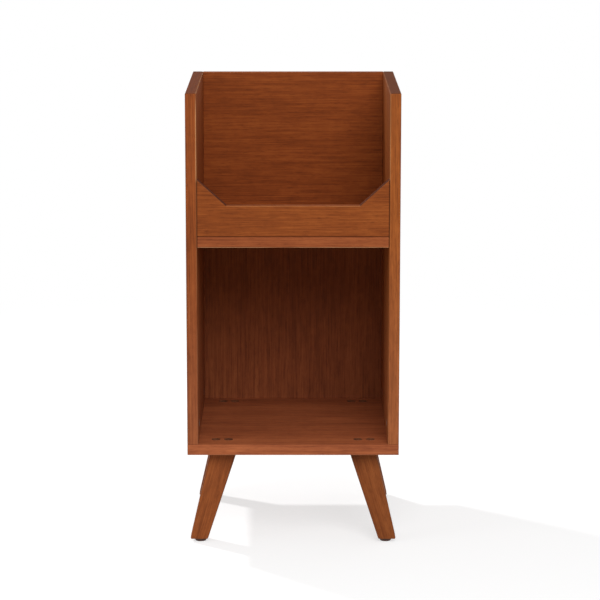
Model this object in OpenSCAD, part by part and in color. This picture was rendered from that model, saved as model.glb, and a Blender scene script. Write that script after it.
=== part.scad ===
// Record storage stand: a flip-through bin over an open compartment, on four splayed legs.
// Millimetres, +Z up, front towards -Y, origin on the floor under the middle of the case.

/* [Case] */
// Outside width of the case
case_w = 370; // [350:1:420]
// Outside depth of the case
case_d = 381; // [360:1:420]
// Height of the case, from under the bottom board to the tops of the sides
case_h = 635; // [600:1:700]
// Thickness of the sides, the bottom, the shelf and the bin front
board_t = 19; // [18:0.5:22]

/* [Bin] */
// Depth of the bin, from the tops of the sides down to the shelf
bin_h = 248; // [220:1:270]
// Height of the bin front between its two slopes
front_h = 54; // [50:1:70]
// Height of the bin front where it meets the sides
front_ear_h = 100; // [95:1:120]
// Length of the level part of the bin front's top edge
front_level_w = 230; // [200:1:250]
// Thickness of the bin back
bin_back_t = 16; // [15:0.5:19]

/* [Lower back] */
// Thickness of the thin panel behind the lower compartment
lower_back_t = 5; // [3:0.5:6]
// Distance from the back of the case to the groove that holds the panel
groove_from_back = 12; // [8:1:20]
// Depth of that groove in the boards around the panel
groove_depth = 6; // [4:0.5:7]

/* [Legs] */
// Height of a leg, from the end that its glide covers up to the case
leg_h = 159; // [120:1:200]
// Thickness of a leg, front to back
leg_t = 30; // [26:1:36]
// Width of a leg at the case
leg_top_w = 46.5; // [44:0.5:60]
// Width of a leg at its foot
leg_foot_w = 31; // [28:0.5:44]
// Distance in from the side of the case to a front leg's outer edge, at the case
leg_top_inset = 39.5; // [34:0.5:50]
// Distance in from the side of the case to a front leg's outer edge, at the foot
leg_foot_inset = 3.5; // [0:0.5:12]
// Distance from the front or back of the case to the legs
leg_setback = 25; // [15:1:40]
// How much further in the rear legs stand than the front ones
rear_leg_inset = 5; // [0:1:8]

/* [Levelling glides] */
// Height of a glide, fully screwed in
glide_h = 6; // [4:0.5:8]
// Diameter of a glide where it meets the leg
glide_d = 23; // [20:1:26]
// Diameter of a glide on the floor
glide_tip_d = 19; // [14:1:20]
// How far a glide screws out
glide_travel = 8; // [4:1:10]
// Diameter of the threaded stem
stem_d = 8; // [6:1:8]

/* [Fittings] */
// Diameter of a cam lock
cam_d = 15; // [12:1:16]
// Distance from a board's end to the middle of its cam locks
cam_setback = 24; // [22:1:34]
// Diameter of a wooden dowel
dowel_d = 8; // [6:1:8]
// Length of a wooden dowel
dowel_l = 30; // [26:1:32]
// Diameter of the bolts that hold the legs
leg_bolt_d = 6; // [5:1:6]

/* [Hidden] */
$fn = 48;
cut = 1;                    // how far a cutting shape runs past the face it opens

front = -1;
rear = 1;
left = -1;
right = 1;

// Levels above the floor, and the inside of the case
case_z = glide_h + leg_h;
floor_z = case_z + board_t;
top_z = case_z + case_h;
shelf_z = top_z - bin_h;
inner_x = case_w / 2 - board_t;
front_mid_y = -case_d / 2 + board_t / 2;
back_mid_y = case_d / 2 - bin_back_t / 2;
groove_y = case_d / 2 - groove_from_back - lower_back_t / 2;

// Legs
leg_y = case_d / 2 - leg_setback - leg_t / 2;
leg_top_x = case_w / 2 - leg_top_inset;
leg_foot_x = case_w / 2 - leg_foot_inset;
foot_cut = 1.5;             // bevel on the two corners of a leg's foot

// Glides: a pad moulded on a threaded stem, which runs in an insert in the leg's foot
glide_gap = 0.3;            // left between the pad and the leg
glide_inward = 2;           // the glide stands this far in from the middle of the foot
glide_x = leg_foot_x - leg_foot_w / 2 - glide_inward;
tip_cut = 0.8;              // bevel at the floor, and height of the straight rim
stem_socket = 3;            // depth of the stem in its pad
thread_play = 0.05;         // radial clearance of the stem in its insert
foot_insert_d = 12;
foot_insert_l = 18;
stem_reach = foot_insert_l + glide_travel;      // so that a glide screwed out still fills its insert
stem_l = stem_socket + glide_gap + stem_reach;
stem_hole_d = stem_d + 1;
stem_hole_spare = 4;

// Leg bolts: from the case floor, through the bottom board, into inserts in the leg's top
leg_bolt_outward = 2.75;    // out from the middle of the leg's top, as the leg leans outwards under it
leg_bolt_x = leg_top_x - leg_top_w / 2 + leg_bolt_outward;
leg_bolt_gap = 22;
leg_bolt_l = 25;
leg_bolt_head_d = 10.5;
leg_bolt_head_h = 3.3;
hex_key = 4;
hex_floor = 1.1;            // left under the hex socket
leg_insert_d = 9;
leg_insert_l = 13;
counterbore_d = 16;
counterbore_h = 7;
washer_d = 14;
washer_t = 1.2;
bolt_play = 0.5;

// Cam fittings: the bolt is screwed into one board, and the cam in the other board pulls on it
cam_past_mid = 4.5;         // a cam reaches this far past the middle of its board
cam_play = 0.4;             // added to the bolt's diameters for the space that it has in the cam
cam_thread_d = 6.4;
cam_thread_l = 11;
cam_shaft_d = 7;
cam_bore_d = 8;
cam_neck_d = 3.6;
cam_head_d = 6.6;
cam_head_l = 3;
cam_key_l = 8;
cam_key_w = 1.6;
cam_key_h = 3.5;
fitting_y = 125;            // cams of the shelf and the base, in front of and behind the middle
dowel_in = 11;              // part of a dowel that sits in the board its joint starts from
dowel_end_gap = 1;
dowel_y = 88;
upright_dowel_x = 80;       // dowels under the bin front and back
front_cam_h = 27;           // above the shelf, as the three heights that follow
front_dowel_h = 68;
back_cam_h = [45, 205];
back_dowel_h = 125;

wood = "sienna";
thin_wood = "peru";
beech = "burlywood";
zinc = "silver";
steel = "slategray";
plastic = [0.16, 0.10, 0.07];

// Each seat is [place, turn]. In its own frame a joint starts at x = 0, runs into the jointed
// board along +x, has the middle of that board at z = 0, and its cam goes in from the -z face.
function shelf_turn(side) = [0, 0, side == left ? 0 : 180];
function upright_turn(side) = [side == left ? 90 : -90, 0, side == left ? 0 : 180];
function base_turn(side) = [0, -90, side == left ? 0 : 180];

function shelf_seats(y) = [
    for (side = [left, right], end = [front, rear])
        [[side * inner_x, end * y, shelf_z - board_t / 2], shelf_turn(side)]
];
function base_seats(y) = [
    for (side = [left, right], end = [front, rear])
        [[side * (case_w - board_t) / 2, end * y, floor_z], base_turn(side)]
];
function upright_seats(mid_y, heights) = [
    for (side = [left, right], h = heights)
        [[side * inner_x, mid_y, shelf_z + h], upright_turn(side)]
];
function under_seats(mid_y) = [
    for (side = [left, right])
        [[side * upright_dowel_x, mid_y, shelf_z], base_turn(side)]
];

base_cam_seats = base_seats(fitting_y);
base_dowel_seats = base_seats(dowel_y);
shelf_cam_seats = shelf_seats(fitting_y);
shelf_dowel_seats = shelf_seats(dowel_y);
front_cam_seats = upright_seats(front_mid_y, [front_cam_h]);
front_dowel_seats = concat(upright_seats(front_mid_y, [front_dowel_h]), under_seats(front_mid_y));
back_cam_seats = upright_seats(back_mid_y, back_cam_h);
back_dowel_seats = concat(upright_seats(back_mid_y, [back_dowel_h]), under_seats(back_mid_y));

module at(seats) {
    for (seat = seats) translate(seat[0]) rotate(seat[1]) children();
}

module along_x(d, from, to) {
    translate([from, 0, 0]) rotate([0, 90, 0]) cylinder(d = d, h = to - from);
}

// A board given by its middle in x and y, its lowest z, and its size
module board(middle, z, size) {
    translate([middle[0] - size[0] / 2, middle[1] - size[1] / 2, z]) cube(size);
}

// What a cam fitting takes out of both boards of its joint; t is the cam's board
module cam_space(t) {
    translate([cam_setback, 0, -t / 2 - cut]) cylinder(d = cam_d, h = t / 2 + cam_past_mid + cut);
    along_x(cam_bore_d, 0, cam_setback);
    along_x(cam_thread_d, -cam_thread_l, cut);
}

module cam_bolt() {
    along_x(cam_thread_d, -cam_thread_l, 0);
    along_x(cam_shaft_d, 0, cam_setback - cam_d / 2);
    along_x(cam_neck_d, 0, cam_setback);
    along_x(cam_head_d, cam_setback - cam_head_l / 2, cam_setback + cam_head_l / 2);
}

module cam(t) {
    neck = cam_neck_d + cam_play;
    head_l = cam_head_l + cam_play;
    difference() {
        translate([cam_setback, 0, -t / 2]) cylinder(d = cam_d, h = t / 2 + cam_past_mid);
        // the way in for the bolt, and the chamber that its head turns in
        translate([cam_setback - cam_d, -neck / 2, -neck / 2]) cube([cam_d, neck, neck]);
        along_x(cam_head_d + cam_play, cam_setback - head_l / 2, cam_setback + head_l / 2);
        // the cross that the screwdriver fits
        for (turn = [45, 135])
            translate([cam_setback, 0, -t / 2])
                rotate(turn)
                    cube([cam_key_l, cam_key_w, 2 * cam_key_h], center = true);
    }
}

module dowel() {
    along_x(dowel_d, -dowel_in, dowel_l - dowel_in);
}

module dowel_bore() {
    along_x(dowel_d, -dowel_in - dowel_end_gap, dowel_l - dowel_in + dowel_end_gap);
}

// The groove's own panel, which the boards around it are cut to
module lower_back_panel() {
    color(thin_wood)
        board([0, groove_y], floor_z - groove_depth,
            [2 * (inner_x + groove_depth), lower_back_t, shelf_z - board_t - floor_z + 2 * groove_depth]);
}

module side_panel(side) {
    color(wood) difference() {
        board([side * (case_w - board_t) / 2, 0], floor_z, [board_t, case_d, top_z - floor_z]);
        lower_back_panel();
        at(base_cam_seats) cam_space(board_t);
        at(shelf_cam_seats) cam_space(board_t);
        at(front_cam_seats) cam_space(board_t);
        at(back_cam_seats) cam_space(bin_back_t);
        at(base_dowel_seats) dowel_bore();
        at(shelf_dowel_seats) dowel_bore();
        at(front_dowel_seats) dowel_bore();
        at(back_dowel_seats) dowel_bore();
    }
}

module left_side_panel() side_panel(left);
module right_side_panel() side_panel(right);

// Runs under both sides; the legs' bolts drop into it from the case floor
module bottom_panel() {
    color(wood) difference() {
        board([0, 0], case_z, [case_w, case_d, board_t]);
        lower_back_panel();
        at(base_cam_seats) cam_space(board_t);
        at(base_dowel_seats) dowel_bore();
        at_leg_bolts() {
            translate([0, 0, floor_z - counterbore_h]) cylinder(d = counterbore_d, h = counterbore_h + cut);
            translate([0, 0, case_z - cut]) cylinder(d = leg_bolt_d + bolt_play, h = board_t + 2 * cut);
        }
    }
}

module bin_shelf() {
    color(wood) difference() {
        board([0, 0], shelf_z - board_t, [2 * inner_x, case_d, board_t]);
        lower_back_panel();
        at(shelf_cam_seats) cam_space(board_t);
        at(shelf_dowel_seats) dowel_bore();
        at(front_dowel_seats) dowel_bore();
        at(back_dowel_seats) dowel_bore();
    }
}

// Low and level in the middle, and sloped up to the sides
module bin_front_panel() {
    outline = [
        [-inner_x, 0], [inner_x, 0], [inner_x, front_ear_h], [front_level_w / 2, front_h],
        [-front_level_w / 2, front_h], [-inner_x, front_ear_h]
    ];
    color(wood) difference() {
        translate([0, front_mid_y + board_t / 2, shelf_z])
            rotate([90, 0, 0])
                linear_extrude(board_t)
                    polygon(outline);
        at(front_cam_seats) cam_space(board_t);
        at(front_dowel_seats) dowel_bore();
    }
}

module bin_back_panel() {
    color(wood) difference() {
        board([0, back_mid_y], shelf_z, [2 * inner_x, bin_back_t, bin_h]);
        at(back_cam_seats) cam_space(bin_back_t);
        at(back_dowel_seats) dowel_bore();
    }
}

// Places children drawn for a right-hand leg, with x outwards and y = 0 in the leg's middle
module at_leg(side, end) {
    inset = end == rear ? rear_leg_inset : 0;
    mirror([side == left ? 1 : 0, 0, 0]) translate([-inset, end * leg_y, 0]) children();
}

module at_all_legs() {
    for (side = [left, right], end = [front, rear]) at_leg(side, end) children();
}

module at_leg_bolts() {
    at_all_legs()
        for (way = [-1, 1]) translate([leg_bolt_x + way * leg_bolt_gap / 2, 0, 0]) children();
}

// A tapered board, flat faces to the front and back, leaning out towards its foot
module leg(side, end) {
    outline = [
        [leg_top_x - leg_top_w, case_z], [leg_top_x, case_z],
        [leg_foot_x, glide_h + foot_cut], [leg_foot_x - foot_cut, glide_h],
        [leg_foot_x - leg_foot_w + foot_cut, glide_h],
        [leg_foot_x - leg_foot_w, glide_h + foot_cut]
    ];
    color(wood) at_leg(side, end) difference() {
        translate([0, leg_t / 2, 0]) rotate([90, 0, 0]) linear_extrude(leg_t) polygon(outline);
        for (way = [-1, 1])
            translate([leg_bolt_x + way * leg_bolt_gap / 2, 0, case_z - leg_insert_l - cut])
                cylinder(d = leg_insert_d, h = leg_insert_l + 2 * cut);
        translate([glide_x, 0, glide_h - cut]) cylinder(d = foot_insert_d, h = foot_insert_l + cut);
        translate([glide_x, 0, glide_h]) cylinder(d = stem_hole_d, h = stem_reach + stem_hole_spare);
    }
}

module front_left_leg() leg(left, front);
module front_right_leg() leg(right, front);
module rear_left_leg() leg(left, rear);
module rear_right_leg() leg(right, rear);

module glide_pad(side, end) {
    pad_h = glide_h - glide_gap;
    profile = [
        [0, 0], [glide_tip_d / 2 - tip_cut, 0], [glide_tip_d / 2, tip_cut],
        [glide_d / 2, pad_h - tip_cut], [glide_d / 2, pad_h], [stem_d / 2, pad_h],
        [stem_d / 2, pad_h - stem_socket], [0, pad_h - stem_socket]
    ];
    color(plastic) at_leg(side, end) translate([glide_x, 0, 0]) rotate_extrude() polygon(profile);
}

module glide_stem(side, end) {
    color(steel) at_leg(side, end)
        translate([glide_x, 0, glide_h - glide_gap - stem_socket])
            cylinder(d = stem_d, h = stem_l);
}

module front_left_glide_pad() glide_pad(left, front);
module front_right_glide_pad() glide_pad(right, front);
module rear_left_glide_pad() glide_pad(left, rear);
module rear_right_glide_pad() glide_pad(right, rear);
module front_left_glide_stem() glide_stem(left, front);
module front_right_glide_stem() glide_stem(right, front);
module rear_left_glide_stem() glide_stem(left, rear);
module rear_right_glide_stem() glide_stem(right, rear);

// Threaded inserts in the feet, which the glides screw into
module foot_inserts() {
    color(zinc) at_all_legs()
        translate([glide_x, 0, glide_h])
            difference() {
                cylinder(d = foot_insert_d, h = foot_insert_l);
                translate([0, 0, -cut]) cylinder(r = stem_d / 2 + thread_play, h = foot_insert_l + 2 * cut);
            }
}

// Threaded inserts in the tops of the legs
module leg_inserts() {
    color(zinc) at_leg_bolts()
        translate([0, 0, case_z - leg_insert_l])
            difference() {
                cylinder(d = leg_insert_d, h = leg_insert_l);
                translate([0, 0, -cut]) cylinder(d = leg_bolt_d, h = leg_insert_l + 2 * cut);
            }
}

module leg_bolts() {
    color(steel) at_leg_bolts()
        translate([0, 0, floor_z - counterbore_h + washer_t])
            difference() {
                union() {
                    cylinder(d = leg_bolt_head_d, h = leg_bolt_head_h);
                    translate([0, 0, -leg_bolt_l]) cylinder(d = leg_bolt_d, h = leg_bolt_l + cut);
                }
                translate([0, 0, hex_floor]) cylinder(d = hex_key, h = leg_bolt_head_h, $fn = 6);
            }
}

module leg_bolt_washers() {
    color(zinc) at_leg_bolts()
        translate([0, 0, floor_z - counterbore_h])
            difference() {
                cylinder(d = washer_d, h = washer_t);
                translate([0, 0, -cut]) cylinder(d = leg_bolt_d + bolt_play, h = washer_t + 2 * cut);
            }
}

module base_cams() color(zinc) at(base_cam_seats) cam(board_t);
module shelf_cams() color(zinc) at(shelf_cam_seats) cam(board_t);
module bin_front_cams() color(zinc) at(front_cam_seats) cam(board_t);
module bin_back_cams() color(zinc) at(back_cam_seats) cam(bin_back_t);

module base_cam_bolts() color(steel) at(base_cam_seats) cam_bolt();
module shelf_cam_bolts() color(steel) at(shelf_cam_seats) cam_bolt();
module bin_front_cam_bolts() color(steel) at(front_cam_seats) cam_bolt();
module bin_back_cam_bolts() color(steel) at(back_cam_seats) cam_bolt();

module base_dowels() color(beech) at(base_dowel_seats) dowel();
module shelf_dowels() color(beech) at(shelf_dowel_seats) dowel();
module bin_front_dowels() color(beech) at(front_dowel_seats) dowel();
module bin_back_dowels() color(beech) at(back_dowel_seats) dowel();

left_side_panel();
right_side_panel();
bottom_panel();
bin_shelf();
bin_front_panel();
bin_back_panel();
lower_back_panel();
front_left_leg();
front_right_leg();
rear_left_leg();
rear_right_leg();
front_left_glide_pad();
front_right_glide_pad();
rear_left_glide_pad();
rear_right_glide_pad();
front_left_glide_stem();
front_right_glide_stem();
rear_left_glide_stem();
rear_right_glide_stem();
foot_inserts();
leg_inserts();
leg_bolts();
leg_bolt_washers();
base_cams();
shelf_cams();
bin_front_cams();
bin_back_cams();
base_cam_bolts();
shelf_cam_bolts();
bin_front_cam_bolts();
bin_back_cam_bolts();
base_dowels();
shelf_dowels();
bin_front_dowels();
bin_back_dowels();
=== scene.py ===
import math
import random

import bmesh
import bpy
from mathutils import Matrix, Vector


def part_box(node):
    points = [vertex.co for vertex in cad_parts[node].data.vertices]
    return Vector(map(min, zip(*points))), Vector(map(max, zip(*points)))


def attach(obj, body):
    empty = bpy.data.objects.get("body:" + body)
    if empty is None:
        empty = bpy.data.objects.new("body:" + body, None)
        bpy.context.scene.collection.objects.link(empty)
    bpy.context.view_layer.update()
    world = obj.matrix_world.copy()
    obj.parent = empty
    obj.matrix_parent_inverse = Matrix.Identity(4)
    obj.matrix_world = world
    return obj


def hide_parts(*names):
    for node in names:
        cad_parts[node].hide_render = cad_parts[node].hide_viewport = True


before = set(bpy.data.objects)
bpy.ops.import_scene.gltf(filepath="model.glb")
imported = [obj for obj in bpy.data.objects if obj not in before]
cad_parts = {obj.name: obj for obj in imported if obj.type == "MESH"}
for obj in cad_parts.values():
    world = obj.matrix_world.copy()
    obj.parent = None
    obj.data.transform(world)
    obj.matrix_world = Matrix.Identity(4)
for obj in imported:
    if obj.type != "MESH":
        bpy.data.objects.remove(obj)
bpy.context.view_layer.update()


# ---------------------------------------------------------------- Bottom board
# A 19 mm board under the whole case, veneered and stained reddish brown under satin lacquer. The eight
# bolts that hold the legs drop into counterbores in its top, and the sides stand on its two ends.
MM = 0.001
X, Y, Z = Vector((1, 0, 0)), Vector((0, 1, 0)), Vector((0, 0, 1))


class Wire:
    """A value, colour or vector on its way through the nodes of one material."""

    def __init__(self, tree, socket=None):
        self.tree = tree
        self.socket = socket

    def node(self, kind, settings=None, inputs=None, out=0):
        """Any node: its settings are set first, then the values or links of its sockets."""
        made = self.tree.nodes.new("ShaderNode" + kind)
        for name, value in (settings or {}).items():
            if name == "stops":
                ramp = made.color_ramp.elements
                while len(ramp) < len(value):
                    ramp.new(0.5)
                for stop, (place, colour) in zip(ramp, value):
                    stop.position, stop.color = place, colour
            else:
                setattr(made, name, value)
        for name, value in (inputs or {}).items():
            if isinstance(value, Wire):
                self.tree.links.new(value.socket, made.inputs[name])
            else:
                made.inputs[name].default_value = value
        return Wire(self.tree, made.outputs[out])

    def maths(self, operation, a, b=0.0):
        """A Math node, or a Vector Math node where either side is a vector."""
        kinds = [side.socket.type if isinstance(side, Wire) else type(side).__name__ for side in (a, b)]
        if {"VECTOR", "Vector", "tuple"} & set(kinds):
            a, b = ((side,) * 3 if isinstance(side, (int, float)) else side for side in (a, b))
            return self.node("VectorMath", {"operation": operation}, {0: a, 1: b})
        return self.node("Math", {"operation": operation}, {0: a, 1: b})

    def __add__(self, other):
        return self.maths("ADD", self, other)

    def __radd__(self, other):
        return self.maths("ADD", other, self)

    def __sub__(self, other):
        return self.maths("SUBTRACT", self, other)

    def __rsub__(self, other):
        return self.maths("SUBTRACT", other, self)

    def __mul__(self, other):
        return self.maths("MULTIPLY", self, other)

    def __rmul__(self, other):
        return self.maths("MULTIPLY", other, self)

    def __abs__(self):
        return self.maths("ABSOLUTE", self)

    def dot(self, direction):
        return self.node("VectorMath", {"operation": "DOT_PRODUCT"}, {0: self, 1: direction}, "Value")

    def step(self, low, high):
        """0 on low's side and 1 on high's, smooth between them."""
        ends = {"Value": self, "From Min": low, "From Max": high}
        return self.node("MapRange", {"interpolation_type": "SMOOTHSTEP"}, ends)

    def noise(self, scale, detail=2.0, roughness=0.5, distortion=0.0):
        """Noise at this place, from 0 to 1; scale is how many patches fit in a metre."""
        look = {"Scale": scale, "Detail": detail, "Roughness": roughness, "Distortion": distortion}
        return self.node("TexNoise", inputs={"Vector": self, **look})

    def ramp(self, *stops):
        """The colour that a ramp of (place, colour) stops has at this value."""
        return self.node("ValToRGB", {"stops": stops}, {0: self})

    def bump(self, strength, depth):
        """The surface's direction over a relief of this height, which is depth deep."""
        return self.node("Bump", inputs={"Strength": strength, "Distance": depth, "Height": self})

    def mix(self, a, b, kind="RGBA"):
        """From a to b as this value goes from 0 to 1, as colours or as vectors."""
        first, out = {"RGBA": (6, 2), "VECTOR": (4, 1)}[kind]
        return self.node("Mix", {"data_type": kind}, {0: self, first: a, first + 1: b}, out)


def rgb(red, green, blue):
    """A colour as a screen shows it, 0 to 255, as the linear colour that a shader takes."""
    shares = (c / 255 for c in (red, green, blue))
    return tuple(((s + 0.055) / 1.055) ** 2.4 if s > 0.04 else s / 12.92 for s in shares) + (1.0,)


def finish_of(name):
    """A new material with its surface shader, and where a point of the surface lies."""
    material = bpy.data.materials.new(name)
    material.use_nodes = True
    shader = material.node_tree.nodes["Principled BSDF"]
    place = Wire(material.node_tree).node("TexCoord", out="Object")
    return material, shader, place


def feed(shader, **sockets):
    """Sets the shader's own sockets: underscores stand for the spaces in their names."""
    for name, value in sockets.items():
        socket = shader.inputs[name.replace("_", " ")]
        if isinstance(value, Wire):
            value.tree.links.new(value.socket, socket)
        else:
            socket.default_value = value


GRAIN_DARK = rgb(108, 48, 15)
GRAIN_MAIN = rgb(141, 68, 25)
GRAIN_LIGHT = rgb(164, 86, 36)
GRAIN_PORE = rgb(72, 30, 12)
# the colour of lighter arrises: part wood rubbed bare, part painted highlight
RUBBED_AND_HIGHLIGHT = rgb(216, 158, 108)
# between these heights a board is painted paler and less saturated toward its foot, as painted bounce light
BOUNCE_TOP, BOUNCE_FOOT = 620 * MM, 180 * MM
# the satin lacquer's refraction, and how deep the open pores lie in it
LACQUER_IOR, PORE_DEEP = 1.22, 0.12 * MM


def stained(name, along, through, solid=False, value=1.0, strength=1.0, hue=0.5, painted_bounce=0.0, ends=0.4,
            joints=(), worn_and_sheen=None):
    """Stained wood: along is the direction of its grain, through that of the board's thickness.
    On veneered boards the strip glued over each end has its grain along the strip, and is darker by ends.
    Each board has its own value, strength and hue: partly the stain's own variation, and partly painted light
    and shade, lighter or darker by how the light fell on each board. An upright board is painted paler by so
    much toward its foot: painted light bounced up from the floor. joints are the directions of the faces that
    meet another board, which are darker: partly stain gathered in the joint, partly painted shade in the
    seam.
    The last argument tells which arrises are painted lighter, partly rubbed by hands and partly painted
    highlight: the direction that they face, how much, and the height from which they are open."""
    material, shader, place = finish_of(name)
    facing = place.node("TexCoord", out="Normal")
    across = through.cross(along)
    a, b, c = place.dot(along), place.dot(across), place.dot(through)
    run = place.node("CombineXYZ", inputs={0: a, 1: b, 2: c})
    on_end = abs(facing.dot(along)).step(0.55, 0.8)
    near_end = abs(facing.dot(along)).step(0.15, 0.45)
    if not solid:
        strip = place.node("CombineXYZ", inputs={0: b, 1: c, 2: a})
        run = on_end.mix(run, strip, "VECTOR")
    run = run + tuple(random.uniform(-9, 9) for _ in range(3))

    # broad figure, smaller clouds, fibres and the dark open pores, all drawn out along the grain
    figure = (run * (1.1, 15, 15)).noise(1, 4, 0.55, 0.5)
    mottle = (run * (40, 90, 90)).noise(1, 3, 0.6, 0.3)
    fibre = (run * (12, 420, 420)).noise(1, 3, 0.6)
    pore = (run * (70, 1500, 1500)).noise(1, 1).step(0.60, 0.70)
    tone = (figure - 0.5) * 0.75 + (mottle - 0.5) * 0.4 + (fibre - 0.5) * 1.0 + 0.5
    colour = tone.ramp((0.18, GRAIN_DARK), (0.5, GRAIN_MAIN), (0.82, GRAIN_LIGHT))
    colour = (pore * 0.45).mix(colour, GRAIN_PORE)
    colour = (on_end * ends).mix(colour, GRAIN_PORE)

    # the rounded arrises are a little darker, and here and there lighter: part wear, part painted highlight
    side_on = abs(facing.dot(through))
    arris = side_on * side_on * (1 - side_on * side_on) * 4
    colour = (arris.step(0.1, 0.8) * 0.3).mix(colour, GRAIN_DARK)
    rubbed_and_highlit = arris.step(0.2, 0.8) * (run * (14, 60, 60)).noise(1, 2).step(0.2, 0.6)
    if worn_and_sheen:
        toward, share, start = worn_and_sheen
        worn_and_sheen_height = place.dot(Z).step(start - 10 * MM, start + 10 * MM) * 0.8 + 0.2
        rubbed_and_highlit = rubbed_and_highlit * facing.dot(toward).step(0.1, 0.4) * (1 - near_end * 0.6) * worn_and_sheen_height * share
    else:
        rubbed_and_highlit = rubbed_and_highlit * 0.1
    colour = (rubbed_and_highlit * 0.9).mix(colour, RUBBED_AND_HIGHLIGHT)

    # painted light bounced from the floor: paler and less saturated toward the foot
    foot = place.dot(Z).step(BOUNCE_TOP, BOUNCE_FOOT)
    change = {"Hue": hue, "Saturation": strength - foot * 0.05, "Value": foot * painted_bounce + value}
    colour = colour.node("HueSaturation", inputs={**change, "Color": colour})
    # faces that meet another board are darker: partly stain gathered in the joint, partly painted shade in
    # the seam
    for joint in joints:
        colour = (facing.dot(joint).step(0.15, 0.6) * 0.85).mix(colour, GRAIN_PORE)

    relief = fibre * 0.35 - pore * 0.8 + mottle * 0.25
    matt = 0.66 + (mottle - 0.5) * 0.16 + pore * 0.12 - rubbed_and_highlit * 0.06 + on_end * 0.24
    feed(shader, Base_Color=colour, Roughness=matt, Normal=relief.bump(0.35, PORE_DEEP), IOR=LACQUER_IOR)
    return material


def core(name, dark, main, light):
    """The inside of a drilled hole or groove: wood fibre, pressed and glued."""
    material, shader, place = finish_of(name)
    speck = place.noise(900, 3, 0.7)
    cloud = place.noise(60, 2)
    tone = (speck - 0.5) * 1.4 + (cloud - 0.5) * 0.8 + 0.5
    colour = tone.ramp((0.2, dark), (0.55, main), (0.85, light))
    feed(shader, Base_Color=colour, Roughness=0.82 + speck * 0.1, Normal=speck.bump(0.6, 0.2 * MM))
    return material


BARE_CORE = core("bare_core", rgb(122, 92, 62), rgb(168, 132, 92), rgb(196, 164, 124))
STAINED_CORE = core("stained_core", rgb(70, 34, 14), rgb(104, 54, 24), rgb(128, 72, 36))


def keep(name, bm, *materials):
    """A new object of this mesh, with all its faces turned outwards."""
    bmesh.ops.recalc_face_normals(bm, faces=bm.faces)
    mesh = bpy.data.meshes.new(name)
    bm.to_mesh(mesh)
    bm.free()
    piece = bpy.data.objects.new(name, mesh)
    bpy.context.scene.collection.objects.link(piece)
    for material in materials:
        mesh.materials.append(material)
    return piece


def apply_modifiers(piece):
    """The piece's mesh becomes what its modifiers make of it."""
    shown = piece.evaluated_get(bpy.context.evaluated_depsgraph_get())
    mesh = bpy.data.meshes.new_from_object(shown)
    piece.modifiers.clear()
    piece.data = mesh
    mesh.name = piece.name


def even(piece, sharp=32):
    """Flat faces shade flat and rounded arrises shade round, up to an angle of sharp degrees."""
    piece.data.shade_smooth()
    piece.data.set_sharp_from_angle(angle=math.radians(sharp))
    piece.modifiers.new("even_faces", "WEIGHTED_NORMAL").keep_sharp = True
    return piece


def blank(name, outline, through, span, eases, caps, *materials):
    """A board sawn to an outline, with its arrises eased. outline is in the two other axes, in their order,
    span is the board's extent through its thickness, eases has the rounding of each side of the outline,
    and caps that of the two faces. Each arris takes the smaller rounding of the two faces that it joins."""
    spot = {"x": lambda a, b, t: (t, a, b), "y": lambda a, b, t: (a, t, b), "z": lambda a, b, t: (a, b, t)}
    bm = bmesh.new()
    low, high = ([bm.verts.new(spot[through](a, b, t)) for a, b in outline] for t in span)
    bm.faces.new(low)
    bm.faces.new(high)
    sides = [(i, (i + 1) % len(outline)) for i in range(len(outline))]
    for i, j in sides:
        bm.faces.new((low[i], low[j], high[j], high[i]))
    widest = max(*eases, *caps)
    weight = bm.edges.layers.float.new("bevel_weight_edge")
    for i, j in sides:
        bm.edges.get((low[i], low[j]))[weight] = min(eases[i], caps[0]) / widest
        bm.edges.get((high[i], high[j]))[weight] = min(eases[i], caps[1]) / widest
        bm.edges.get((low[i], high[i]))[weight] = min(eases[i], eases[i - 1]) / widest
    piece = keep(name, bm, *materials)
    ease = piece.modifiers.new("eased", "BEVEL")
    ease.limit_method = "WEIGHT"
    ease.offset_type = "OFFSET"
    ease.width = widest * MM
    ease.segments = 4
    apply_modifiers(piece)
    return piece


def rectangle(left, bottom, right, top):
    return [(left, bottom), (right, bottom), (right, top), (left, top)]


def solids(node):
    """The lowest and highest corners of each separate solid of a CAD node."""
    bm = bmesh.new()
    bm.from_mesh(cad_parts[node].data)
    bmesh.ops.remove_doubles(bm, verts=bm.verts, dist=1e-6)
    left, boxes = set(bm.verts), []
    while left:
        island, edge = set(), [left.pop()]
        while edge:
            vertex = edge.pop()
            island.add(vertex)
            near = {link.other_vert(vertex) for link in vertex.link_edges} & left
            left -= near
            edge += near
        boxes.append([Vector(pick(v.co[i] for v in island) for i in range(3)) for pick in (min, max)])
    bm.free()
    return sorted(boxes, key=lambda box: tuple(round(c, 4) for c in box[0]))


def axis_of(box):
    """The axis of a round solid: the one whose extent differs from the other two."""
    size = box[1] - box[0]
    return max(range(3), key=lambda i: abs(size[i] - sorted(size)[1]))


def middle_of(box):
    return (box[0] + box[1]) / 2


def touch(a, b):
    return all(a[0][i] < b[1][i] and b[0][i] < a[1][i] for i in range(3))


def open_side(cam, board):
    """The direction in which a cam shows: out of the nearer face of its board."""
    i = axis_of(cam)
    outward = 1 if abs(cam[1][i] - board[1][i]) < abs(cam[0][i] - board[0][i]) else -1
    return (X, Y, Z)[i] * outward


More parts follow.
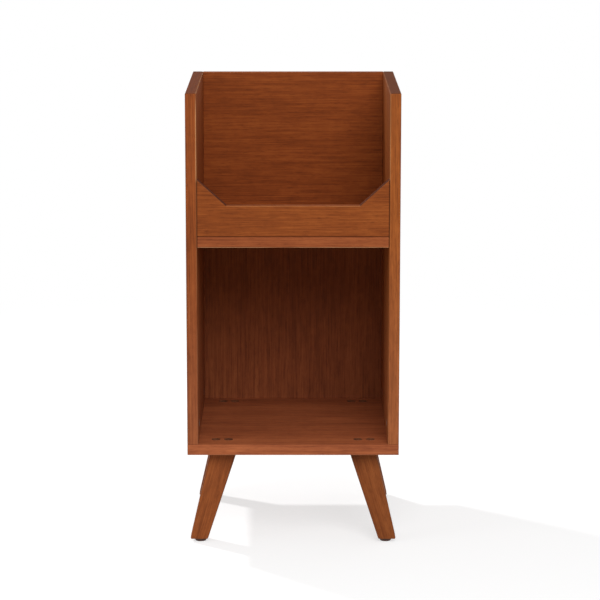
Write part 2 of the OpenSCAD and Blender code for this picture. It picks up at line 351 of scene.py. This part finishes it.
def drill(bm, box, wider=0.0, below=0.0, above=0.0, sides=48):
    """Adds to bm the cylinder that fills a round solid's box, made wider and longer at its two ends."""
    i = axis_of(box)
    size, middle = box[1] - box[0], middle_of(box)
    radius = size[(i + 1) % 3] / 2 + wider
    middle[i] += (above - below) / 2
    turn = (Matrix.Rotation(math.pi / 2, 4, "Y"), Matrix.Rotation(math.pi / 2, 4, "X"), Matrix.Identity(4))[i]
    bmesh.ops.create_cone(bm, cap_ends=True, segments=sides, radius1=radius, radius2=radius,
                          depth=size[i] + below + above, matrix=Matrix.Translation(middle) @ turn)


def cut(piece, *tools, inside, crossed=False):
    """Takes the tools' solids out of a piece, one after the other, and leaves the cut faces in the finish
    inside. crossed is for a tool whose own solids run through each other."""
    for bm in tools:
        if not bm.verts:
            bm.free()
            continue
        tool = keep("tool", bm, inside)
        saw = piece.modifiers.new("cut", "BOOLEAN")
        saw.operation = "DIFFERENCE"
        saw.solver = "EXACT"
        saw.object = tool
        saw.material_mode = "TRANSFER"
        saw.use_self = crossed
        apply_modifiers(piece)
        bpy.data.objects.remove(tool)


def box_tool(bm, low, high):
    size = Matrix.Diagonal((*(high - low), 1))
    bmesh.ops.create_cube(bm, size=1, matrix=Matrix.Translation((low + high) / 2) @ size)


JOINTS = ("base", "shelf", "bin_front", "bin_back")
DOWELS = [box for joint in JOINTS for box in solids(joint + "_dowels")]
CAM_BOLTS = [box for joint in JOINTS for box in solids(joint + "_cam_bolts")]
CAMS = [box for joint in JOINTS for box in solids(joint + "_cams")]
# roundings in mm: open arrises, hidden joints, joints that show as a line, and the bottom board's ends
ARRIS, BUTT, SEAM, EDGE = 1.7, 0.6, 1.9, 1.0
# every hole is this much longer than what sits in it, so that its end is free
PAST, PAST_MOUTH = 0.5 * MM, 1 * MM


def fitted(piece, node):
    """Cuts the joints' holes into a board and puts it in the node's place on the stand."""
    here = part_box(node)
    pockets, bores, pegs, groove = (bmesh.new() for _ in range(4))
    for box in CAMS:
        if touch(box, here):
            below, above = (0.2 * MM, PAST_MOUTH) if sum(open_side(box, here)) > 0 else (PAST_MOUTH, 0.2 * MM)
            drill(pockets, box, 0.1 * MM, below, above)
    for box in CAM_BOLTS:
        if touch(box, here):
            drill(bores, box, 0.3 * MM, PAST, PAST, 24)
    for box in DOWELS:
        if touch(box, here):
            drill(pegs, box, 0.05 * MM, PAST, PAST, 24)
    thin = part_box("lower_back_panel")
    if touch(thin, here):
        room = Vector((1, 0.25, 1)) * MM
        box_tool(groove, thin[0] - room, thin[1] + room)
    cut(piece, pockets, bores, pegs, groove, inside=BARE_CORE)
    even(piece)
    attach(piece, "stand")
    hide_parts(node)


random.seed(12)
low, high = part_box("bottom_panel")
# the bottom board is given a higher value: partly its own tone, partly painted light bounced from the floor
stain = stained("stained_bottom_board", X, Z, value=1.2, strength=0.99, worn_and_sheen=(-Z, 0.4, 0))
bottom = blank("bottom_board", rectangle(low.x, low.y, high.x, high.y), "z", (low.z, high.z),
               [1.2, EDGE, 1.2, EDGE], [1.4, 0.7], stain)
counterbores, bolt_holes = bmesh.new(), bmesh.new()
for box in solids("leg_bolt_washers"):
    drill(counterbores, box, 1 * MM, above=8 * MM)
for box in solids("leg_bolts"):
    drill(bolt_holes, box, -2 * MM, above=PAST_MOUTH, sides=24)
cut(bottom, counterbores, bolt_holes, inside=STAINED_CORE)
fitted(bottom, "bottom_panel")


# ------------------------------------------------------------------------ Legs
# Four tapered legs of solid wood, 30 mm thick, stained like the case. Each leans outwards and is held
# under the bottom board by two bolts that run into threaded inserts in its top.
CORNERS = ("front_left", "front_right", "rear_left", "rear_right")
# roundings in mm: the four long arrises, the bevels beside the foot, and round the foot itself
LEG_ARRIS, HEEL, FOOT = 2.2, 1.0, 0.8
TINY = 0.01 * MM


def leg(corner):
    """One leg. Its outline is read from the CAD node: its top, its foot, and the bevels beside the foot."""
    node = corner + "_leg"
    low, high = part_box(node)
    side = -1 if "left" in corner else 1
    points = [(v.co.x * side, v.co.z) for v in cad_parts[node].data.vertices]
    top = sorted(x for x, z in points if z > high.z - TINY)
    foot = sorted(x for x, z in points if z < low.z + TINY)
    outer = max(x for x, z in points)
    bevel = min(z for x, z in points if x > outer - TINY) - low.z
    outline = [(top[0], high.z), (foot[0] - bevel, low.z + bevel), (foot[0], low.z),
               (foot[-1], low.z), (outer, low.z + bevel), (top[-1], high.z)]
    outwards = (foot[0] + foot[-1] - top[0] - top[-1]) / 2
    lean = Vector((side * outwards, 0, low.z - high.z)).normalized()
    # the right-hand legs are given a lower value: partly their own tone, partly painted shade
    stain = stained("stained_" + node, lean, Y, solid=True, value=0.99 if side < 0 else 0.82,
                    strength=1.02, hue=0.504)
    piece = blank(node + "_wood", [(x * side, z) for x, z in outline], "y", (low.y, high.y),
                  [LEG_ARRIS, HEEL, FOOT, HEEL, LEG_ARRIS, BUTT], [LEG_ARRIS, LEG_ARRIS], stain)
    holes, deep = bmesh.new(), bmesh.new()
    for box in solids("leg_inserts"):
        if touch(box, (low, high)):
            drill(holes, box, 0.05 * MM, PAST_MOUTH, PAST_MOUTH, 32)
    for box in solids("foot_inserts"):
        if touch(box, (low, high)):
            drill(holes, box, 0.05 * MM, PAST_MOUTH, 0, 32)
            drill(deep, box, -1.5 * MM, PAST_MOUTH, 12 * MM, 32)
    cut(piece, holes, deep, inside=BARE_CORE)
    even(piece)
    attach(piece, "stand")
    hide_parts(node)


for corner in CORNERS:
    leg(corner)


# --------------------------------------------------------------------- Inserts
# Zinc-plated bushes with a thread inside: eight short ones in the tops of the legs for the bolts, and a
# longer one in each foot for its glide. A coarse thread cut on the outside holds them in the wood.


def worn_metal(name, dark, light, roughness, scale=260):
    """Plated or cast metal: clouds of tone, fine scratches and a little pitting."""
    material, shader, place = finish_of(name)
    cloud = place.noise(scale, 3, 0.6)
    pits = place.noise(scale * 9, 2, 0.6)
    scratch = (place * (1, 1, 14)).noise(scale * 2, 2)
    tone = (cloud - 0.5) * 0.9 + (scratch - 0.5) * 0.7 + 0.5
    colour = tone.ramp((0.25, dark), (0.75, light))
    relief = pits * 0.6 + scratch * 0.4
    polish = roughness + (cloud - 0.5) * 0.22 + (pits - 0.5) * 0.1
    feed(shader, Base_Color=colour, Metallic=1.0, Roughness=polish, Normal=relief.bump(0.25, 0.05 * MM))
    return material


def ring(bm, radii, height):
    """A ring of points about an upright axis, one for each radius."""
    turn = 2 * math.pi / len(radii)
    spots = [(r * math.cos(k * turn), r * math.sin(k * turn), height) for k, r in enumerate(radii)]
    return [bm.verts.new(spot) for spot in spots]


def skin(bm, rings):
    """Faces from each ring to the next. A ring of one point closes an end."""
    sides = max(len(points) for points in rings)
    for one, two in zip(rings, rings[1:]):
        for k in range(sides):
            j = (k + 1) % sides
            corners = (one[k % len(one)], one[j % len(one)], two[j % len(two)], two[k % len(two)])
            bm.faces.new(tuple(dict.fromkeys(corners)))


def turned(bm, profile, sides=40, start=None):
    """Turns a profile of (radius, height) points about an upright axis, on from the ring start if there is
    one. A radius of 0 closes an end."""
    rings = [start] if start else []
    sides = len(start) if start else sides
    for radius, height in profile:
        rings.append(ring(bm, [radius] * (sides if radius else 1), height))
    skin(bm, rings)
    return rings


def threaded(bm, root, crest, pitch, start, end, sides=24, steps=6):
    """A screw thread about an upright axis: a height field wound round a rod, which runs out at both ends."""
    rows = round((end - start) / pitch * steps)
    rings = []
    for row in range(rows + 1):
        z = start + (end - start) * row / rows
        fade = min(1, (z - start) / pitch, (end - z) / pitch)
        flanks = [1 - abs(2 * ((z / pitch - k / sides) % 1) - 1) for k in range(sides)]
        rises = [min(1, max(0, (flank - 0.12) / 0.7)) for flank in flanks]
        rings.append(ring(bm, [root + (crest - root) * rise * fade for rise in rises], z))
    skin(bm, rings)
    return rings


def place_fitting(name, pattern, middle, body, node, up=Z, side=X):
    """One more of a fitting, put in its place with its own z axis turned to up and its x axis to side."""
    piece = bpy.data.objects.new(name, pattern.data)
    bpy.context.scene.collection.objects.link(piece)
    turn = Matrix((side, up.cross(side), up)).transposed().to_4x4()
    piece.matrix_world = Matrix.Translation(middle) @ turn
    piece.modifiers.new("even_faces", "WEIGHTED_NORMAL").keep_sharp = True
    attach(piece, body)
    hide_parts(node)


def each(pattern, node, label):
    """One piece of the pattern in the place of every solid of the node."""
    for k, box in enumerate(solids(node), 1):
        place_fitting(f"{label}_{k}", pattern, middle_of(box), "stand", node)
    bpy.data.objects.remove(pattern)


def sizes(box):
    """The radius and half the length of an upright round solid."""
    return (box[1].x - box[0].x) / 2, (box[1].z - box[0].z) / 2


ZINC = worn_metal("zinc_plate", rgb(150, 150, 154), rgb(214, 214, 216), 0.34)
COARSE_PITCH, COARSE_DEEP, CREST_CLEAR, MOUTH = 3 * MM, 0.9 * MM, 0.02 * MM, 0.5 * MM


def insert(name, node, bore):
    """A bush of the node's size: the coarse thread, then round each end and into the bore."""
    bm = bmesh.new()
    outer, half = sizes(solids(node)[0])
    root = outer - COARSE_DEEP
    thread = threaded(bm, root, outer - CREST_CLEAR, COARSE_PITCH, -half + 1.2 * MM, half - 0.6 * MM, 40, 8)
    mouths = []
    for start, end, inward, chamfer in ((thread[0], -half, 1, 0.5 * MM), (thread[-1], half, -1, 0.3 * MM)):
        profile = [(root, end + inward * chamfer), (root - chamfer, end), (bore + MOUTH, end),
                   (bore, end + inward * MOUTH)]
        mouths.append(turned(bm, profile, start=start)[-1])
    skin(bm, mouths)
    return even(keep(name, bm, ZINC), 40)


each(insert("leg_insert_pattern", "leg_inserts", 3 * MM), "leg_inserts", "leg_insert")
each(insert("foot_insert_pattern", "foot_inserts", 4.05 * MM), "foot_inserts", "foot_insert")


# --------------------------------------------------------- Washers and leg bolts
# A stamped washer lies in each counterbore, and an M6 button-head bolt goes down through it, through the
# bottom board and into the leg's insert. Both are zinc plated, and the bolt takes a 4 mm hex key.
STEEL = worn_metal("bolt_plate", rgb(118, 120, 126), rgb(186, 188, 194), 0.3)
WASHER_HOLE = 3.25 * MM

outer, half = sizes(solids("leg_bolt_washers")[0])
bm = bmesh.new()
rings = turned(bm, [(WASHER_HOLE + 0.1 * MM, -half), (outer - 0.25 * MM, -half), (outer, -half + 0.25 * MM),
                    (outer, half - 0.5 * MM), (outer - 0.15 * MM, half - 0.15 * MM), (outer - 0.5 * MM, half),
                    (WASHER_HOLE + 0.3 * MM, half), (WASHER_HOLE, half - 0.3 * MM)])
skin(bm, [rings[0], rings[-1]])
each(even(keep("washer_pattern", bm, ZINC), 40), "leg_bolt_washers", "leg_washer")

_, half = sizes(solids("leg_bolts")[0])
SHANK, ROOT, PITCH, TIP = 2.98 * MM, 2.45 * MM, 1 * MM, 1.9 * MM
HEAD, HEAD_TALL, RIM = 5.25 * MM, 3.3 * MM, 0.9 * MM
seat = half - HEAD_TALL
slopes = [math.radians(degrees) for degrees in (14, 28, 42, 54)]
dome = [(HEAD * math.cos(a), seat + RIM + (HEAD_TALL - RIM) * math.sin(a)) for a in slopes]
bm = bmesh.new()
shank = threaded(bm, ROOT, SHANK, PITCH, -half + 0.8 * MM, seat - 6 * MM)
upper = turned(bm, [(SHANK, seat - 5.4 * MM), (SHANK, seat), (HEAD - 0.25 * MM, seat),
                    (HEAD, seat + 0.25 * MM), *dome, (dome[-1][0] - 0.2 * MM, half)], start=shank[-1])
bm.faces.new(upper[-1])
bm.faces.new(turned(bm, [(TIP, -half)], start=shank[0])[-1])
bolt = keep("leg_bolt_pattern", bm, STEEL)
KEY, KEY_DEEP = 2.31 * MM, 2.2 * MM
key = bmesh.new()
bmesh.ops.create_cone(key, cap_ends=True, segments=6, radius1=KEY, radius2=KEY, depth=2 * KEY_DEEP,
                      matrix=Matrix.Translation((0, 0, half)))
bmesh.ops.create_cone(key, cap_ends=True, segments=24, radius1=1.6 * MM, radius2=2.75 * MM, depth=1.15 * MM,
                      matrix=Matrix.Translation((0, 0, half - 0.1 * MM)))
cut(bolt, key, inside=STEEL, crossed=True)
each(even(bolt, 36), "leg_bolts", "leg_bolt")


# ---------------------------------------------------------------------- Glides
# A dark brown nylon pad moulded on a steel M8 stem. It screws in and out of the insert in the foot to
# level the stand, and at rest it stands 0.3 mm clear of the wood.


def moulded_nylon():
    """Dark brown nylon with a fine grit, scuffed pale where it slides on the floor."""
    material, shader, place = finish_of("dark_brown_nylon")
    cloud = place.noise(180, 3, 0.6)
    grit = place.noise(4200, 2, 0.6)
    scuff = place.dot(Z).step(4 * MM, 0.0) * (place * (1, 1, 6)).noise(700, 2).step(0.45, 0.7)
    colour = cloud.ramp((0.3, rgb(72, 43, 30)), (0.7, rgb(92, 57, 41)))
    colour = (scuff * 0.35).mix(colour, rgb(128, 102, 86))
    matt = 0.58 + (cloud - 0.5) * 0.2 + scuff * 0.2
    feed(shader, Base_Color=colour, Roughness=matt, Normal=grit.bump(0.4, 0.04 * MM), IOR=1.4)
    return material


NYLON = moulded_nylon()
low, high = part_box("front_left_glide_pad")
rim, tall = (high.x - low.x) / 2, high.z - low.z
REST, HOLLOW, SEAT = 9.5 * MM, 4.2 * MM, 4.7 * MM
HOLLOW_DEEP = SEAT_DEEP = 0.35 * MM
SOCKET, SOCKET_DEEP = 3.32 * MM, 3.02 * MM
bm = bmesh.new()
turned(bm, [(0, HOLLOW_DEEP), (HOLLOW, HOLLOW_DEEP), (HOLLOW + 0.4 * MM, 0.0),
            # the rounded edge of the face on the floor, and the flared side
            (REST - 1.0 * MM, 0.0), (REST - 0.45 * MM, 0.12 * MM), (REST - 0.1 * MM, 0.42 * MM),
            (REST + 0.05 * MM, 0.85 * MM), (rim - 0.28 * MM, tall - 1.15 * MM),
            # the rounded rim, and a dish with the stem's socket in the top
            (rim - 0.06 * MM, tall - 0.8 * MM), (rim, tall - 0.5 * MM), (rim - 0.08 * MM, tall - 0.2 * MM),
            (rim - 0.35 * MM, tall), (SEAT, tall), (SEAT - 0.3 * MM, tall - SEAT_DEEP),
            (SOCKET, tall - SEAT_DEEP), (SOCKET, tall - SOCKET_DEEP), (0, tall - SOCKET_DEEP)], 64)
pad = even(keep("pad_pattern", bm, NYLON), 38)

_, half = sizes(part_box("front_left_glide_stem"))
STEM, STEM_ROOT, STEM_TIP = 3.99 * MM, 3.3 * MM, 2.6 * MM
# the stem is plain where the pad is moulded on it
STEM_PITCH, STEM_PLAIN = 1.25 * MM, 2.7 * MM
bm = bmesh.new()
rod = threaded(bm, STEM_ROOT, STEM, STEM_PITCH, -half + STEM_PLAIN, half - 1 * MM, 32)
for start, radius, end in ((rod[0], STEM_ROOT, -half), (rod[-1], STEM_TIP, half)):
    bm.faces.new(turned(bm, [(radius, end)], start=start)[-1])
stem = even(keep("stem_pattern", bm, STEEL), 50)

for corner in CORNERS:
    body, node = corner + "_glide", corner + "_glide_pad"
    low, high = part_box(node)
    foot = Vector(((low.x + high.x) / 2, (low.y + high.y) / 2, low.z))
    place_fitting(corner + "_nylon_pad", pad, foot, body, node)
    node = corner + "_glide_stem"
    place_fitting(corner + "_threaded_stem", stem, middle_of(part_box(node)), body, node)
bpy.data.objects.remove(pad)
bpy.data.objects.remove(stem)


# ---------------------------------------------------------- Dowels and cam bolts
# Fluted beech dowels line up every joint of the case. Beside them steel cam bolts are screwed into one
# board, and their heads reach into the other, where the cams grip them.


def beech():
    """Bare beech: pale clouds and the short dark flecks of its grain."""
    material, shader, place = finish_of("bare_beech")
    fleck = (place * (300, 1400, 1400)).noise(1, 2).step(0.58, 0.66)
    cloud = place.noise(90, 3)
    colour = cloud.ramp((0.3, rgb(196, 152, 104)), (0.7, rgb(222, 184, 138)))
    colour = (fleck * 0.4).mix(colour, rgb(150, 104, 66))
    matt = 0.68 + (cloud - 0.5) * 0.2
    feed(shader, Base_Color=colour, Roughness=matt, Normal=fleck.bump(0.3, 0.08 * MM))
    return material


BEECH = beech()
FLUTES, FLUTE_DEEP, CHAMFER, CHAMFER_LONG = 20, 0.4 * MM, 1.1 * MM, 1.4 * MM
radius, half = sizes(solids("base_dowels")[0])
bm = bmesh.new()
rings = []
for z, shrink in ((-half, CHAMFER), (-half + CHAMFER_LONG, 0), (half - CHAMFER_LONG, 0), (half, CHAMFER)):
    fluted = [radius - shrink - (FLUTE_DEEP if k % 3 == 0 else 0) for k in range(FLUTES * 3)]
    rings.append(ring(bm, fluted, z))
skin(bm, rings)
bm.faces.new(rings[0])
bm.faces.new(rings[-1])
dowel = even(keep("dowel_pattern", bm, BEECH), 20)

# radius and height in mm over the point: the collar on the thread, the neck that the cam grips, the head
CAM_BOLT = ((3.5, 11.0), (3.5, 27.2), (3.2, 27.5), (1.8, 27.6), (1.8, 33.4), (3.0, 33.6), (3.3, 34.0),
            (3.3, 36.0), (2.7, 36.5))
WOOD_ROOT, WOOD_CREST, WOOD_PITCH = 2.1 * MM, 3.19 * MM, 2.4 * MM
_, half = sizes(solids("base_cam_bolts")[0])
bm = bmesh.new()
thread = threaded(bm, WOOD_ROOT, WOOD_CREST, WOOD_PITCH, -half + 1 * MM, -half + 11 * MM, steps=8)
turned(bm, [(0, -half)], start=thread[0])
bm.faces.new(turned(bm, [(r * MM, up * MM - half) for r, up in CAM_BOLT], start=thread[-1])[-1])
cam_bolt = even(keep("cam_bolt_pattern", bm, STEEL), 40)


def direction(i, toward):
    """Along the axis numbered i, on the side that the vector toward points to."""
    return (X, Y, Z)[i] * math.copysign(1, toward[i])


for joint in JOINTS:
    for k, box in enumerate(solids(joint + "_dowels"), 1):
        along = (X, Y, Z)[axis_of(box)]
        place_fitting(f"{joint}_dowel_{k}", dowel, middle_of(box), "stand", joint + "_dowels",
                      along, along.orthogonal().normalized())
    for k, box in enumerate(solids(joint + "_cam_bolts"), 1):
        middle = middle_of(box)
        cam = min((middle_of(cam) for cam in CAMS), key=lambda spot: (spot - middle).length)
        toward = direction(axis_of(box), cam - middle)
        place_fitting(f"{joint}_cam_bolt_{k}", cam_bolt, middle, "stand", joint + "_cam_bolts",
                      toward, toward.orthogonal().normalized())
bpy.data.objects.remove(dowel)
bpy.data.objects.remove(cam_bolt)


# ----------------------------------------------------------------------- Sides
# Two 19 mm boards stand on the bottom board and carry the shelf and the bin between them. Their grain
# runs up, and the strips over their top ends run from front to back.
HANDLED = 2.3
BIN_OPEN = 650 * MM
# the right board is given a higher value and more paling toward its foot, partly its own tone and partly
# painted light; its top end is darker than the left's: painted shade
STAINS = {
    "left": dict(value=1.01, hue=0.502, painted_bounce=0.02, ends=0.62, worn_and_sheen=(X, 0.85, BIN_OPEN)),
    "right": dict(value=1.1, hue=0.506, painted_bounce=0.19, ends=0.82, worn_and_sheen=(-X, 0.35, BIN_OPEN)),
}
for name, stain in STAINS.items():
    node = name + "_side_panel"
    low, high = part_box(node)
    faces = [ARRIS, HANDLED] if name == "left" else [HANDLED, ARRIS]
    panel = blank(name + "_side_board", rectangle(low.y, low.z, high.y, high.z), "x", (low.x, high.x),
                  [BUTT, HANDLED, HANDLED, HANDLED], faces,
                  stained("stained_" + node, Z, X, strength=0.99, joints=[-Z], **stain))
    fitted(panel, node)


# -------------------------------------------------------------- Lower back panel
# A thin board, stained to match, slid into grooves in the sides, the shelf and the bottom board before
# the case is closed.
low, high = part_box("lower_back_panel")
thin = blank("lower_back_sheet", rectangle(low.x, low.z, high.x, high.z), "y", (low.y, high.y),
             [0.3] * 4, [0.3] * 2, stained("stained_lower_back", Z, Y, value=0.9))
even(thin)
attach(thin, "stand")
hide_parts("lower_back_panel")


# ----------------------------------------------------------------------- Shelf
# A 19 mm board between the sides, the floor of the bin and the roof of the compartment. Its cams are
# underneath, so its top is plain.
low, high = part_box("bin_shelf")
stain = stained("stained_shelf_board", X, Z, value=0.95, strength=0.97, joints=[X, -X], worn_and_sheen=(-Z, 1.0, 0))
shelf = blank("shelf_board", rectangle(low.x, low.y, high.x, high.y), "z", (low.z, high.z),
              [ARRIS, SEAM, ARRIS, SEAM], [ARRIS, SEAM], stain)
fitted(shelf, "bin_shelf")


# ------------------------------------------------------------------- Bin front
# A 19 mm board on the front of the shelf, low over its middle to reach into the bin from the front, and
# sloped up to the sides at both ends. Its cams are on the face inside the bin.
low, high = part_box("bin_front_panel")
corners = [v.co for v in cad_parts["bin_front_panel"].data.vertices]
tops = [(v.x, v.z) for v in corners if v.z > low.z + 40 * MM and v.y < low.y + TINY]
level_z = min(z for x, z in tops)
level_x = max(x for x, z in tops if z < level_z + TINY)
outline = [(low.x, low.z), (high.x, low.z), (high.x, high.z), (level_x, level_z), (-level_x, level_z),
           (low.x, high.z)]
stain = stained("stained_bin_front", X, Y, value=0.85, hue=0.502, joints=[-Z, X, -X], worn_and_sheen=(Z, 0.3, 0))
front = blank("bin_front_board", outline, "y", (low.y, high.y),
              [SEAM, SEAM, ARRIS, ARRIS, ARRIS, SEAM], [ARRIS, ARRIS], stain)
fitted(front, "bin_front_panel")


# -------------------------------------------------------------------- Bin back
# A 16 mm board across the back of the bin, level with the tops of the sides.
low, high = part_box("bin_back_panel")
stain = stained("stained_bin_back", X, Y, value=0.92, joints=[-Z, X, -X])
back = blank("bin_back_board", rectangle(low.x, low.z, high.x, high.z), "y", (low.y, high.y),
             [BUTT, BUTT, ARRIS, BUTT], [ARRIS, ARRIS], stain)
fitted(back, "bin_back_panel")


# ------------------------------------------------------------------------ Cams
# Die-cast zinc cams, 15 mm across, flush in their pockets. A cross-head screwdriver turns each one to
# grip the head of its cam bolt and pull the joint shut.
CAST = worn_metal("die_cast_zinc", rgb(128, 128, 130), rgb(186, 186, 188), 0.46, 150)
SLOT_LONG, SLOT_WIDE, SLOT_DEEP, DISH = 8 * MM, 1.6 * MM, 3.5 * MM, 0.35 * MM
# half the jaw that the bolt's neck passes, and the chamber that its head sits in
JAW, CHAMBER, CHAMBER_LONG = 2 * MM, 3.5 * MM, 3.4 * MM
BOARDS = ("left_side_panel", "right_side_panel", "bin_shelf", "bin_front_panel", "bin_back_panel")


def gripped(cam):
    """Where a cam's bolt lies from the cam, the bolt's own axis, and the direction in which the cam shows."""
    bolt = min(CAM_BOLTS, key=lambda box: (middle_of(box) - middle_of(cam)).length)
    board = next(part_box(name) for name in BOARDS if touch(cam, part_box(name)))
    return middle_of(bolt) - middle_of(cam), axis_of(bolt), open_side(cam, board)


for joint in JOINTS:
    boxes = solids(joint + "_cams")
    i = axis_of(boxes[0])
    size = boxes[0][1] - boxes[0][0]
    radius, half = size[(i + 1) % 3] / 2, size[i] / 2
    bm = bmesh.new()
    turned(bm, [(0, -half), (radius - 0.6 * MM, -half), (radius, -half + 0.6 * MM), (radius, half - 0.9 * MM),
                (radius - 0.35 * MM, half - 0.25 * MM), (radius - 0.7 * MM, half), (radius - 1.5 * MM, half),
                (radius - 1.8 * MM, half - DISH), (0, half - DISH)], 48)
    cam = keep(joint + "_cam_pattern", bm, CAST)
    cross, mouth = bmesh.new(), bmesh.new()
    blade = Matrix.Diagonal((SLOT_LONG, SLOT_WIDE, 2 * SLOT_DEEP, 1))
    for degrees in (45, 135):
        turn = Matrix.Translation((0, 0, half)) @ Matrix.Rotation(math.radians(degrees), 4, "Z")
        bmesh.ops.create_cube(cross, size=1, matrix=turn @ blade)
    offset, _, up = gripped(boxes[0])
    deep = offset.dot(up)
    box_tool(mouth, Vector((-radius - 1 * MM, -JAW, deep - JAW)), Vector((0, JAW, deep + JAW)))
    lying = Matrix.Translation((0, 0, deep)) @ Matrix.Rotation(math.pi / 2, 4, "Y")
    bmesh.ops.create_cone(mouth, cap_ends=True, segments=32, radius1=CHAMBER, radius2=CHAMBER,
                          depth=CHAMBER_LONG, matrix=lying)
    cut(cam, cross, mouth, inside=CAST, crossed=True)
    even(cam, 36)
    for k, box in enumerate(boxes, 1):
        offset, along, up = gripped(box)
        place_fitting(f"{joint}_cam_{k}", cam, middle_of(box), "stand", joint + "_cams",
                      up, direction(along, -offset))
    bpy.data.objects.remove(cam)


# ---------------------------------------------------------------------- Studio
# A pale floor that runs out to white, a large soft lamp from the front, a weak one from the left, a small
# one behind on the left, one there that lights only the floor for its shadow, and the photograph's camera.


def shows_white(start):
    """1 on what the camera sees, straight or in a mirror or through glass, and 0 where light spreads."""
    rays = [start.node("LightPath", out=f"Is {kind} Ray") for kind in ("Camera", "Glossy", "Transmission")]
    return (rays[0] + rays[1] + rays[2]).step(0.0, 1.0)


def grey(level):
    return (level, level, level, 1)


floor_material = bpy.data.materials.new("studio_floor")
floor_material.use_nodes = True
tree = floor_material.node_tree
tree.nodes.remove(tree.nodes["Principled BSDF"])
start = Wire(tree)
seen = shows_white(start)
place = start.node("TexCoord", out="Object")
far = place.node("VectorMath", {"operation": "LENGTH"}, {0: place}, "Value").step(0.9, 2.2)
lit = start.node("BsdfDiffuse", inputs={"Color": seen.mix(grey(0.5), grey(0.4))})
glow = start.node("Emission", inputs={"Color": grey(1), "Strength": 0.64})
white = start.node("Emission", inputs={"Color": grey(1), "Strength": 1.0})
bright = start.node("AddShader", inputs={0: lit, 1: glow})
near = start.node("MixShader", inputs={0: seen, 1: lit, 2: bright})
whole = start.node("MixShader", inputs={0: far * seen, 1: near, 2: white})
tree.links.new(whole.socket, tree.nodes["Material Output"].inputs["Surface"])
bm = bmesh.new()
bmesh.ops.create_circle(bm, cap_ends=True, segments=96, radius=30.0)
floor = keep("studio_floor", bm, floor_material)

world = bpy.data.worlds.new("studio")
bpy.context.scene.world = world
world.use_nodes = True
start = Wire(world.node_tree)
ambient = start.node("Background", inputs={"Color": grey(1), "Strength": 0.46})
backdrop = start.node("Background", inputs={"Color": grey(1), "Strength": 1.0})
sky = start.node("MixShader", inputs={0: shows_white(start), 1: ambient, 2: backdrop})
world.node_tree.links.new(sky.socket, world.node_tree.nodes["World Output"].inputs["Surface"])

AIM = Vector((0, 0, 0.42))
BEHIND_LEFT = (-1.95, 1.95, 2.97)


def lamp(name, place, size, power):
    """A round soft lamp that faces the stand."""
    light = bpy.data.lights.new(name, "AREA")
    light.shape = "DISK"
    light.size = size
    light.energy = power
    holder = bpy.data.objects.new(name, light)
    holder.location = place
    holder.rotation_euler = (AIM - Vector(place)).to_track_quat("-Z", "Y").to_euler()
    bpy.context.scene.collection.objects.link(holder)
    return holder


lamp("front_lamp", (0.5, -3.1, 2.7), 2.4, 89)
lamp("left_lamp", (-2.6, -1.6, 1.2), 1.6, 12)
lamp("back_lamp", BEHIND_LEFT, 0.34, 30)
only_floor = bpy.data.collections.new("floor_lamp_lights")
only_floor.objects.link(floor)
lamp("floor_lamp", BEHIND_LEFT, 0.3, 80).light_linking.receiver_collection = only_floor

camera = bpy.data.objects.new("camera", bpy.data.cameras.new("camera"))
camera.data.sensor_width = 36.0
camera.data.lens = 156.66
camera.data.shift_x = 0.0115
camera.data.clip_start = 0.1
camera.data.clip_end = 80
camera.location = (0, -4.6325, 1.28)
camera.rotation_euler = (math.radians(90 - 10.69), 0, 0)
bpy.context.scene.collection.objects.link(camera)
bpy.context.scene.camera = camera
bpy.context.scene.view_settings.view_transform = "Standard"
